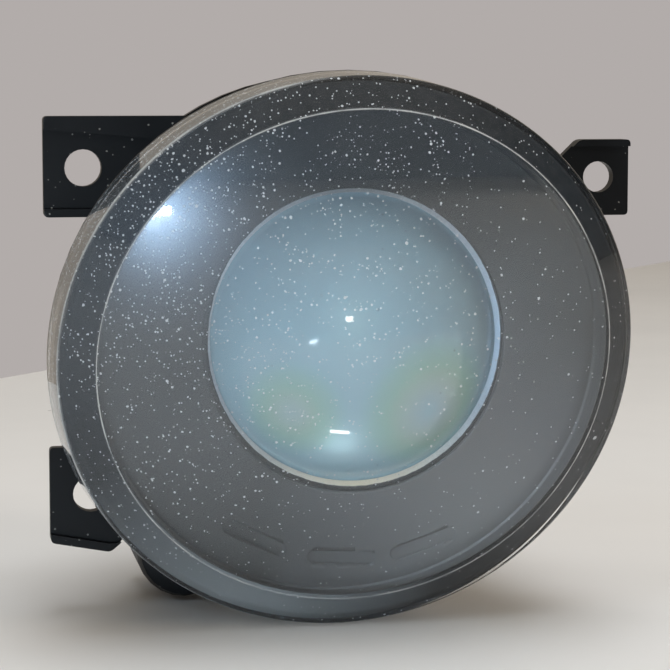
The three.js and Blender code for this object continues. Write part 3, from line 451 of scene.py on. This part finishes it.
def projector_glass():
    """The thick front lens: pale blue, slightly milky, with faint interference colours, painted darker at
    the top and paler at the bottom as painted shade and light.
    """
    r = Recipe("projector_glass")
    # Painted shade and light: the colour darkens towards the top and pales towards the bottom.
    height = r.node("ShaderNodeSeparateXYZ", {0: r.place})
    painted_top_shade = r.scaled(height.outputs["Z"], -0.028, 0.028)
    body = r.colour(painted_top_shade, (0.42, 0.63, 0.70), (0.34, 0.52, 0.61))
    grey_side = r.distance_to((27.0, -32.0, 4.0), 26.0)
    body = r.colour(r.maths("MULTIPLY", grey_side, 0.5), body, (0.31, 0.39, 0.43))
    bands = r.distance_to((13.0, -35.0, -13.0), 17.0)
    other_bands = r.distance_to((-13.0, -35.0, -13.0), 13.0)
    film = r.maths("MAXIMUM", bands, r.maths("MULTIPLY", other_bands, 0.8))
    hue = r.node("ShaderNodeCombineColor", {0: r.scaled(film, 0.1, 0.9, 0.55, 0.06), 1: 0.42, 2: 0.56},
                 mode="HSV").outputs[0]
    ringed = r.maths("MULTIPLY", r.scaled(film, 0.03, 0.3), r.scaled(film, 0.55, 0.95, 1.0, 0.0))
    body = r.colour(r.maths("MULTIPLY", ringed, 0.5), body, hue)
    specks = r.maths("MULTIPLY", r.specks(0.0026, 0.0003, 0.5), r.scaled(r.noise(70.0, 3.0), 0.4, 0.6))
    body = r.colour(r.maths("MULTIPLY", specks, 0.35), body, (0.12, 0.12, 0.12))
    normal = r.bump(r.noise(60.0, 2.0), 0.05, 0.0003)
    rough = r.scaled(r.noise(200.0, 4.0), 0.3, 0.7, 0.03, 0.08)
    return r.finish(r.principled(Base_Color=body, Roughness=rough, Transmission_Weight=0.3, IOR=1.5,
                                 Coat_Weight=0.6, Coat_Roughness=0.03, Normal=normal))


def brushed_metal(name, tint, roughness, scale):
    r = Recipe(name)
    streaks = r.noise(scale, 3.0, 0.6, r.stretched((1.0, 14.0, 1.0)))
    cloud = r.noise(55.0, 5.0, 0.6)
    dull = tuple(value * 0.72 for value in tint)
    base = r.colour(r.scaled(cloud, 0.3, 0.7), tint, dull)
    rough = r.maths("ADD", r.scaled(streaks, 0.3, 0.7, roughness - 0.06, roughness + 0.08),
                    r.scaled(cloud, 0.55, 0.8, 0.0, 0.1))
    normal = r.bump(streaks, 0.15, 0.00005, r.bump(r.noise(900.0, 3.0), 0.1, 0.00004))
    return r.finish(r.principled(Base_Color=base, Metallic=1.0, Roughness=rough, Normal=normal))


def ring_finish():
    """Dark lacquered ring whose inner bevel is rubbed through to pale metal, painted warm and bright at the
    bottom, bluish at the right and dark at the top as painted light, reflection and shade.
    """
    r = Recipe("ring_finish")
    parts = r.node("ShaderNodeSeparateXYZ", {0: r.place})
    squares = r.maths("ADD", r.maths("POWER", parts.outputs["X"], 2.0),
                      r.maths("POWER", parts.outputs["Z"], 2.0))
    radius = r.maths("SQRT", squares, 0.0)
    uneven = r.maths("ADD", radius, r.scaled(r.noise(400.0, 4.0, 0.7), 0.3, 0.7, -0.00008, 0.00008))
    thin_left = r.maths("MULTIPLY", r.distance_to((-29.0, -28.0, 4.0), 32.0), 0.0006)
    bare = r.scaled(r.maths("ADD", uneven, thin_left), 0.02875, 0.0289, 1.0, 0.0)
    pits = r.noise(1800.0, 4.0, 0.7)
    pale = r.colour(r.scaled(pits, 0.35, 0.7), (0.60, 0.64, 0.68), (0.42, 0.46, 0.5))
    # Painted light and shade on the bare bevel: warm and bright at the bottom, a bluish painted reflection
    # at the right, dark at the top.
    pale = r.colour(r.distance_to((0.0, -28.0, -29.0), 30.0), pale, (0.82, 0.72, 0.55))
    pale = r.colour(r.distance_to((29.0, -28.0, 0.0), 26.0), pale, (0.38, 0.5, 0.62))
    pale = r.colour(r.distance_to((0.0, -28.0, 29.0), 30.0), pale, (0.26, 0.27, 0.28))
    base = r.colour(bare, (0.035, 0.037, 0.04), pale)
    rough = r.scaled(bare, 0.0, 1.0, 0.5, 0.34)
    normal = r.bump(pits, 0.3, 0.00006)
    return r.finish(r.principled(Base_Color=base, Metallic=0.25, Roughness=rough, Normal=normal))


def cast_metal():
    r = Recipe("cast_metal")
    skin = r.noise(1500.0, 4.0, 0.65)
    cloud = r.noise(60.0, 5.0, 0.6)
    base = r.colour(r.scaled(cloud, 0.3, 0.7), (0.42, 0.42, 0.42), (0.3, 0.3, 0.31))
    normal = r.bump(skin, 0.4, 0.00008)
    rough = r.scaled(skin, 0.3, 0.7, 0.42, 0.6)
    return r.finish(r.principled(Base_Color=base, Metallic=1.0, Roughness=rough, Normal=normal))


def rubber():
    r = Recipe("rubber")
    bloom = r.noise(90.0, 6.0, 0.7)
    base = r.colour(r.scaled(bloom, 0.45, 0.8), (0.012, 0.012, 0.012), (0.045, 0.044, 0.042))
    normal = r.bump(r.noise(2600.0, 3.0), 0.25, 0.00005)
    rough = r.scaled(bloom, 0.3, 0.8, 0.6, 0.85)
    return r.finish(r.principled(Base_Color=base, Roughness=rough, Normal=normal, Sheen_Weight=0.08))


def nylon():
    r = Recipe("nylon")
    cloud = r.noise(140.0, 4.0, 0.6)
    base = r.colour(r.scaled(cloud, 0.3, 0.7), (0.68, 0.65, 0.56), (0.58, 0.55, 0.46))
    normal = r.bump(r.noise(1800.0, 2.0), 0.15, 0.00004)
    rough = r.scaled(cloud, 0.3, 0.7, 0.38, 0.52)
    return r.finish(r.principled(Base_Color=base, Roughness=rough, Normal=normal,
                                 Subsurface_Weight=0.12, Subsurface_Scale=0.002))


def sealant():
    r = Recipe("sealant")
    cloud = r.noise(300.0, 4.0, 0.6)
    base = r.colour(r.scaled(cloud, 0.3, 0.7), (0.05, 0.05, 0.048), (0.03, 0.03, 0.03))
    normal = r.bump(cloud, 0.5, 0.0003)
    return r.finish(r.principled(Base_Color=base, Roughness=0.62, Normal=normal))


def reflector_plating():
    r = Recipe("reflector_plating")
    cloud = r.noise(70.0, 5.0, 0.6)
    base = r.colour(r.scaled(cloud, 0.35, 0.75), (0.86, 0.87, 0.88), (0.72, 0.73, 0.75))
    rough = r.scaled(cloud, 0.3, 0.75, 0.12, 0.28)
    normal = r.bump(r.noise(220.0, 3.0), 0.1, 0.0002)
    return r.finish(r.principled(Base_Color=base, Metallic=1.0, Roughness=rough, Normal=normal))


def bulb_glass():
    r = Recipe("bulb_glass")
    rough = r.scaled(r.noise(200.0, 3.0), 0.3, 0.7, 0.01, 0.04)
    glass = r.principled(Base_Color=(0.97, 0.97, 0.95), Roughness=rough, Transmission_Weight=1.0, IOR=1.47)
    open_to_lamps = r.node("ShaderNodeBsdfTransparent", {"Color": (0.95, 0.95, 0.94, 1.0)}).outputs[0]
    path = r.node("ShaderNodeLightPath", {})
    return r.finish(r.mixed(path.outputs["Is Shadow Ray"], glass, open_to_lamps))


def table_top():
    r = Recipe("table_top")
    cloud = r.noise(6.0, 4.0, 0.6)
    base = r.colour(r.scaled(cloud, 0.3, 0.7), (0.73, 0.72, 0.705), (0.68, 0.67, 0.655))
    # Painted shade: the table darkens towards the front, from 0.8 m to 2.4 m ahead of the lamp.
    depth = r.node("ShaderNodeSeparateXYZ", {0: r.place}).outputs["Y"]
    base = r.colour(r.scaled(depth, -2.4, -0.8), (0.36, 0.36, 0.37), base)
    base = r.colour(r.maths("MULTIPLY", r.specks(0.03, 0.0008, 0.3), 0.6), base, (0.12, 0.12, 0.13))
    rough = r.scaled(cloud, 0.3, 0.7, 0.42, 0.55)
    normal = r.bump(r.noise(400.0, 3.0), 0.08, 0.0003)
    return r.finish(r.principled(Base_Color=base, Roughness=rough, Normal=normal))


MATERIALS = {
    "black_plastic": moulded_plastic("black_plastic", (0.005, 0.0055, 0.0065), (0.008, 0.009, 0.010),
                                     0.4, 0.12, 0.02, 0.0002, 0.19),
    # The satin plastic's last argument places a patch of painted light on the bezel's lower right.
    "satin_plastic": moulded_plastic("satin_plastic", (0.024, 0.026, 0.028), (0.031, 0.032, 0.032),
                                     0.5, 0.008, 0.01, 0.00004, 0.5, ((24.0, -33.0, -38.0), 44.0)),
    "clear_cover": clear_cover(),
    "lens_glass": projector_glass(),
    "bulb_glass": bulb_glass(),
    "sealant": sealant(),
    "rubber": rubber(),
    "nylon": nylon(),
    "reflector_metal": reflector_plating(),
    "zinc_steel": brushed_metal("zinc_steel", (0.66, 0.66, 0.65), 0.3, 900.0),
    "cast_alloy": cast_metal(),
    "wire": brushed_metal("wire", (0.5, 0.48, 0.45), 0.35, 2000.0),
}


def wear(piece, slot):
    piece.data.materials.clear()
    piece.data.materials.append(MATERIALS[slot])
    return piece


# ---------- Pieces ----------


def outer_lens():
    inner_rim = CREASE[3] - 0.6
    lip = TONGUE_INSET + TONGUE_WIDTH
    corners = [
        *dome_corners(0.0, CREASE[3]),
        (CREASE, 0.5),
        (behind(SHOULDER, -0.1), 0.6),
        (SKIRT_END, 0.3),
        (behind(SKIRT_END, 0.0, TONGUE_INSET), 0.2),
        (behind(SKIRT_END, TONGUE_DEPTH, TONGUE_INSET), 0.3),
        (behind(SKIRT_END, TONGUE_DEPTH, lip), 0.3),
        (behind(SKIRT_END, -1.0, lip), 0.4),
        (behind(SKIRT_END, -2.5, COVER_WALL), 0.4),
        (behind(SHOULDER, COVER_WALL, COVER_WALL), 0.8),
        (centred_at(CREASE, COVER_WALL, inner_rim), 0.5),
        *reversed(dome_corners(COVER_WALL, inner_rim)),
    ]
    piece = even_normals(loft("cover", rounded(corners, False), FINE, False))
    wear(piece, "clear_cover")
    return stands_for(piece, "outer_lens", "housing")


def pocket_cutter(angle, front, back):
    """A long rounded cutter for one shallow pocket, whose ends follow the cone's slope."""
    outline = []
    for end in (1, -1):
        for step in range(POCKET_END_STEPS + 1):
            turn = math.pi * step / POCKET_END_STEPS + (0 if end > 0 else math.pi)
            outward = POCKET_CIRCLE + POCKET_HALF_WIDTH * math.cos(turn)
            outline.append((outward, end * POCKET_HALF_LENGTH + POCKET_HALF_WIDTH * math.sin(turn)))
    cos, sin = math.cos(angle), math.sin(angle)
    flat = [(u * cos - v * sin, u * sin + v * cos) for u, v in outline]
    vertices = [(x * MM, (cone_y(x, z) - front) * MM, z * MM) for x, z in flat]
    vertices += [(x * MM, (cone_y(x, z) + back) * MM, z * MM) for x, z in flat]
    count = len(outline)
    faces = [tuple(range(count)), tuple(reversed(range(count, 2 * count)))]
    faces += [(i, (i + 1) % count, (i + 1) % count + count, i + count) for i in range(count)]
    return mesh_piece("pocket_cutter", vertices, faces)


def cut_away(piece, cutter):
    modifier = piece.modifiers.new("cut", "BOOLEAN")
    modifier.operation = "DIFFERENCE"
    modifier.solver = "EXACT"
    modifier.object = cutter
    apply_modifiers(piece)
    bpy.data.objects.remove(cutter)


def apply_modifiers(piece):
    graph = bpy.context.evaluated_depsgraph_get()
    result = bpy.data.meshes.new_from_object(piece.evaluated_get(graph))
    piece.modifiers.clear()
    piece.data = result


def along(start, end, share):
    return start + (end - start) * share


CREST = behind(SHOULDER, *BEZEL_CREST)
OPENING = square_ring(BEZEL_OPENING, BEZEL_FRONT, BEZEL_CENTRE)
CONE_STEPS = 16


def cone_ring(share):
    """A ring of the bezel's cone, whose sides run straight from its crest to its opening."""
    place = along(CREST, OPENING, share)
    place[4] = (1 - share) * CREST[3] / place[3]
    return place


def cone_y(x, z):
    """The depth of the bezel's cone at a point, between its crest and its opening."""
    low, high = 0.0, 1.0
    for _ in range(24):
        middle = (low + high) / 2
        centre_x, _, centre_z, radius, share = cone_ring(middle)
        across, up, _ = rake_axes(share)
        upright = (z - centre_z) / up[2]
        sideways = (x - centre_x - upright * up[0]) / across[0]
        if math.hypot(upright, sideways) > radius:
            high = middle
        else:
            low = middle
    place = cone_ring(low)
    _, up, _ = rake_axes(place[4])
    return place[1] + (z - place[2]) / up[2] * up[1]


def bezel():
    step_inside = cone_ring(0.145)
    step_inside[:3] += rake_axes(1.0)[2] * 0.3
    rows = [(cone_ring(0.16 + 0.84 * step / CONE_STEPS), 0) for step in range(1, CONE_STEPS)]
    corners = [
        (centred_at(SKIRT_END, 0.0, BEZEL_BASE), 0.3),
        (behind(SHOULDER, *BEZEL_CORNER), 0.5),
        (CREST, 0.4),
        (cone_ring(0.13), 0.15),
        (step_inside, 0.15),
        *rows,
        (OPENING, 0.5),
        (square_ring(BEZEL_OPENING, BEZEL_FRONT + BEZEL_WALL, BEZEL_CENTRE), 0.3),
        (behind(SHOULDER, BEZEL_CREST_BACK, BEZEL_CREST[1] + BEZEL_WALL), 0.5),
        (centred_at(SKIRT_END, 0.0, BEZEL_BASE - BEZEL_WALL), 0.3),
    ]
    piece = loft("bezel_cone", rounded(corners, True), FINE, True)
    for angle in POCKET_ANGLES:
        cut_away(piece, pocket_cutter(math.radians(angle), 2.0, POCKET_DEPTH))
    even_normals(piece)
    wear(piece, "satin_plastic")
    return stands_for(piece, "bezel", "housing")


def gaiter():
    """The rubber gaiter that joins the housing's collar to the reflector's neck."""
    line = np.array(GAITER_LINE)
    along_line = np.gradient(line, axis=0)
    along_line /= np.linalg.norm(along_line, axis=1)[:, None]
    across_line = np.column_stack((-along_line[:, 1], along_line[:, 0])) * GAITER_THICKNESS / 2
    profile = [*(line + across_line), *reversed(line - across_line)]
    ends = (0, len(line) - 1, len(line), 2 * len(line) - 1)
    corners = [(radius, y, 0.2 if i in ends else 0.4) for i, (radius, y) in enumerate(profile)]
    piece = turned("gaiter", corners, MEDIUM)
    wear(piece, "rubber")
    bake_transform(piece)
    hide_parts("rear_gaiter")


def projector_lens():
    sphere = (LENS_DOME_RADIUS ** 2 + LENS_DOME_RISE ** 2) / (2 * LENS_DOME_RISE)
    half_angle = math.asin(LENS_DOME_RADIUS / sphere)
    corners = [
        (0.0, LENS_BACK_Y, 0),
        (LENS_FLANGE_RADIUS, LENS_BACK_Y, 0.3),
        (LENS_FLANGE_RADIUS, LENS_RIM_Y, 0.3),
    ]
    for step in range(DOME_STEPS, -1, -1):
        angle = half_angle * step / DOME_STEPS
        rise = sphere * (math.cos(angle) - math.cos(half_angle))
        corners.append((sphere * math.sin(angle), LENS_RIM_Y - rise, 0))
    piece = turned("front_lens", corners, MEDIUM + SMALL, False)
    wear(piece, "lens_glass")
    return stands_for(piece, "projector_lens", "projector")


def lens_retaining_ring():
    corners = [
        (RING_OUTER, RING_FRONT_Y, 0.25),
        (RING_INNER + 0.95, RING_FRONT_Y, 0.15),
        (RING_INNER, LENS_RIM_Y - 0.4, 0.05),
        (RING_INNER, LENS_RIM_Y - 0.3, 0.03),
        (RING_SLEEVE, LENS_RIM_Y - 0.3, 0.1),
        (RING_SLEEVE, RING_BACK_Y, 0.15),
        (RING_OUTER, RING_BACK_Y, 0.2),
    ]
    piece = turned("lens_ring", corners, FINE)
    piece.data.materials.append(ring_finish())
    return stands_for(piece, "lens_retaining_ring", "projector")


def softened(node, width, slot, angle=32.0):
    """Rounds the sharp edges of a CAD piece that keeps its own mesh, and gives it its finish."""
    piece = NODES[node]
    weld = piece.modifiers.new("weld", "WELD")
    weld.merge_threshold = 1e-6
    bevel = piece.modifiers.new("edges", "BEVEL")
    bevel.width = width * MM
    bevel.segments = 3
    bevel.limit_method = "ANGLE"
    bevel.angle_limit = math.radians(angle)
    even_normals(piece)
    for polygon in piece.data.polygons:
        polygon.use_smooth = True
    wear(piece, slot)


def cad_finishes():
    softened("housing", 0.3, "black_plastic")
    softened("mounting_frame", 0.45, "black_plastic")
    softened("lens_sealant", 0.2, "sealant")
    softened("vent_cap", 0.3, "rubber")
    softened("lens_holder", 0.3, "cast_alloy")
    softened("cutoff_shield", 0.15, "zinc_steel")
    softened("reflector", 0.2, "reflector_metal")
    softened("bulb_lock_ring", 0.2, "zinc_steel")
    softened("bulb_base", 0.3, "black_plastic")
    softened("bulb_glass", 0.1, "bulb_glass")
    softened("bulb_filament", 0.02, "wire")
    softened("bulb_oring", 0.25, "rubber")
    softened("adjuster_screw", 0.25, "black_plastic")
    softened("adjuster_clip", 0.12, "zinc_steel")
    softened("adjuster_oring", 0.2, "rubber")
    softened("adjuster_nut", 0.3, "nylon")
    softened("adjuster_ball_stud", 0.1, "zinc_steel")
    for side in ("left", "right"):
        softened(f"pivot_socket_{side}", 0.2, "nylon")
        softened(f"pivot_stud_{side}", 0.1, "zinc_steel")
        softened(f"bulb_terminal_{side}", 0.1, "zinc_steel")
    for number in (1, 2, 3):
        softened(f"frame_screw_{number}", 0.15, "zinc_steel")
    for number in (1, 2, 3, 4):
        softened(f"module_screw_{number}", 0.15, "zinc_steel")


# ---------- Stage ----------

CAMERA_PLACE = Vector((-0.0864, -0.4977, 0.0504))
CAMERA_AZIMUTH = math.radians(-10.0)
CAMERA_ELEVATION = math.radians(6.0)
CAMERA_LENS = 133.25


def camera():
    data = bpy.data.cameras.new("camera")
    data.lens = CAMERA_LENS
    data.sensor_width = 36.0
    data.clip_start, data.clip_end = 0.01, 20.0
    holder = bpy.data.objects.new("camera", data)
    bpy.context.scene.collection.objects.link(holder)
    back = Vector((
        math.sin(CAMERA_AZIMUTH) * math.cos(CAMERA_ELEVATION),
        -math.cos(CAMERA_AZIMUTH) * math.cos(CAMERA_ELEVATION),
        math.sin(CAMERA_ELEVATION),
    ))
    holder.location = CAMERA_PLACE
    holder.rotation_mode = "QUATERNION"
    holder.rotation_quaternion = (-back).to_track_quat("-Z", "Y")
    bpy.context.scene.camera = holder


def table():
    """The table top, whose far edge runs away to the right."""
    low = CAD_BOUNDS[0].z
    edge_left, edge_right = Vector((-0.052, 0.388)), Vector((0.355, 0.884))
    run = (edge_right - edge_left).normalized()
    far_left, far_right = edge_left - run * 2.0, edge_right + run * 2.0
    outline = [(far_right.x, -2.5), far_right[:], far_left[:], (-2.5, far_left.y), (-2.5, -2.5)]
    vertices = [(x, y, low) for x, y in outline]
    top = mesh_piece("table_top", vertices, [tuple(range(len(vertices)))])
    top.data.materials.append(table_top())


def area_light(name, place, aim, size, power, colour, height=None):
    data = bpy.data.lights.new(name, "AREA")
    data.energy = power
    data.color = colour
    data.size = size
    if height is not None:
        data.shape = "RECTANGLE"
        data.size_y = height
    holder = bpy.data.objects.new(name, data)
    bpy.context.scene.collection.objects.link(holder)
    holder.location = place
    holder.rotation_mode = "QUATERNION"
    holder.rotation_quaternion = (Vector(aim) - Vector(place)).to_track_quat("-Z", "Y")
    holder.visible_camera = False
    return holder


def glint(name, surface_point, outward, distance, size, power, colour, height=None):
    """A small lamp placed where the camera sees it mirrored at a point of a shiny surface (mm)."""
    point = Vector(surface_point) * MM
    normal = Vector(outward).normalized()
    sight = (point - CAMERA_PLACE).normalized()
    mirrored = sight - 2 * sight.dot(normal) * normal
    area_light(name, point + mirrored * distance, point, size, power, colour, height)


def lights():
    centre = (0.0, -0.02, 0.0)
    soft = (
        area_light("ceiling", (0.1, -0.1, 1.1), centre, 0.7, 10.2, (0.90, 0.95, 1.0)),
        area_light("window", (-0.9, -0.7, 0.8), centre, 0.5, 3.0, (0.74, 0.88, 1.0)),
        area_light("warm_side", (0.9, -0.7, 0.5), centre, 0.5, 4.6, (1.0, 0.91, 0.80)),
    )
    for lamp in soft:
        lamp.visible_glossy = False
        lamp.visible_transmission = False
    glint("hotspot", (-40.0, -50.3, 24.7), (-0.242, -0.969, -0.04),
          0.62, 0.055, 3.2, (0.72, 0.86, 1.0), 0.035)
    glint("lens_dot", (-3.2, -40.8, 4.8), (-0.093, -0.986, 0.141),
          0.006, 0.0019, 0.00012, (1.0, 0.97, 0.9), 0.0014)
    glint("lens_bar", (-4.3, -36.4, -17.1), (-0.125, -0.858, -0.499),
          0.006, 0.0046, 0.00025, (1.0, 1.0, 0.97), 0.0009)


WALL = (0.445, 0.413, 0.402)
ROOM_BACK = (0.42, 0.37, 0.31)
ROOM_FRONT = (0.07, 0.085, 0.105)
ROOM_TOP = (0.35, 0.28, 0.20)


def room():
    """A plain pale wall to look at; the light that it sends is dimmer from the front."""
    world = bpy.data.worlds.new("room")
    bpy.context.scene.world = world
    world.use_nodes = True
    tree = world.node_tree
    background = tree.nodes["Background"]
    place = tree.nodes.new("ShaderNodeTexCoord")
    parts = tree.nodes.new("ShaderNodeSeparateXYZ")
    tree.links.new(place.outputs["Generated"], parts.inputs[0])

    def between(socket, low, high):
        mapped = tree.nodes.new("ShaderNodeMapRange")
        mapped.inputs["From Min"].default_value = low
        mapped.inputs["From Max"].default_value = high
        tree.links.new(socket, mapped.inputs["Value"])
        return mapped.outputs["Result"]

    def blended(factor, first, second):
        mix = tree.nodes.new("ShaderNodeMix")
        mix.data_type = "RGBA"
        tree.links.new(factor, mix.inputs[0])
        for index, value in ((6, first), (7, second)):
            if isinstance(value, bpy.types.NodeSocket):
                tree.links.new(value, mix.inputs[index])
            else:
                mix.inputs[index].default_value = (*value, 1.0)
        return mix.outputs[2]

    sides = blended(between(parts.outputs["Y"], -0.25, 0.35), ROOM_FRONT, ROOM_BACK)
    around = blended(between(parts.outputs["Z"], 0.3, 0.9), sides, ROOM_TOP)
    path = tree.nodes.new("ShaderNodeLightPath")
    seen = blended(path.outputs["Is Camera Ray"], around, WALL)
    tree.links.new(seen, background.inputs["Color"])
    bpy.context.scene.view_settings.view_transform = "Standard"


camera()
outer_lens()
bezel()
projector_lens()
lens_retaining_ring()
gaiter()
cad_finishes()
table()
lights()
room()
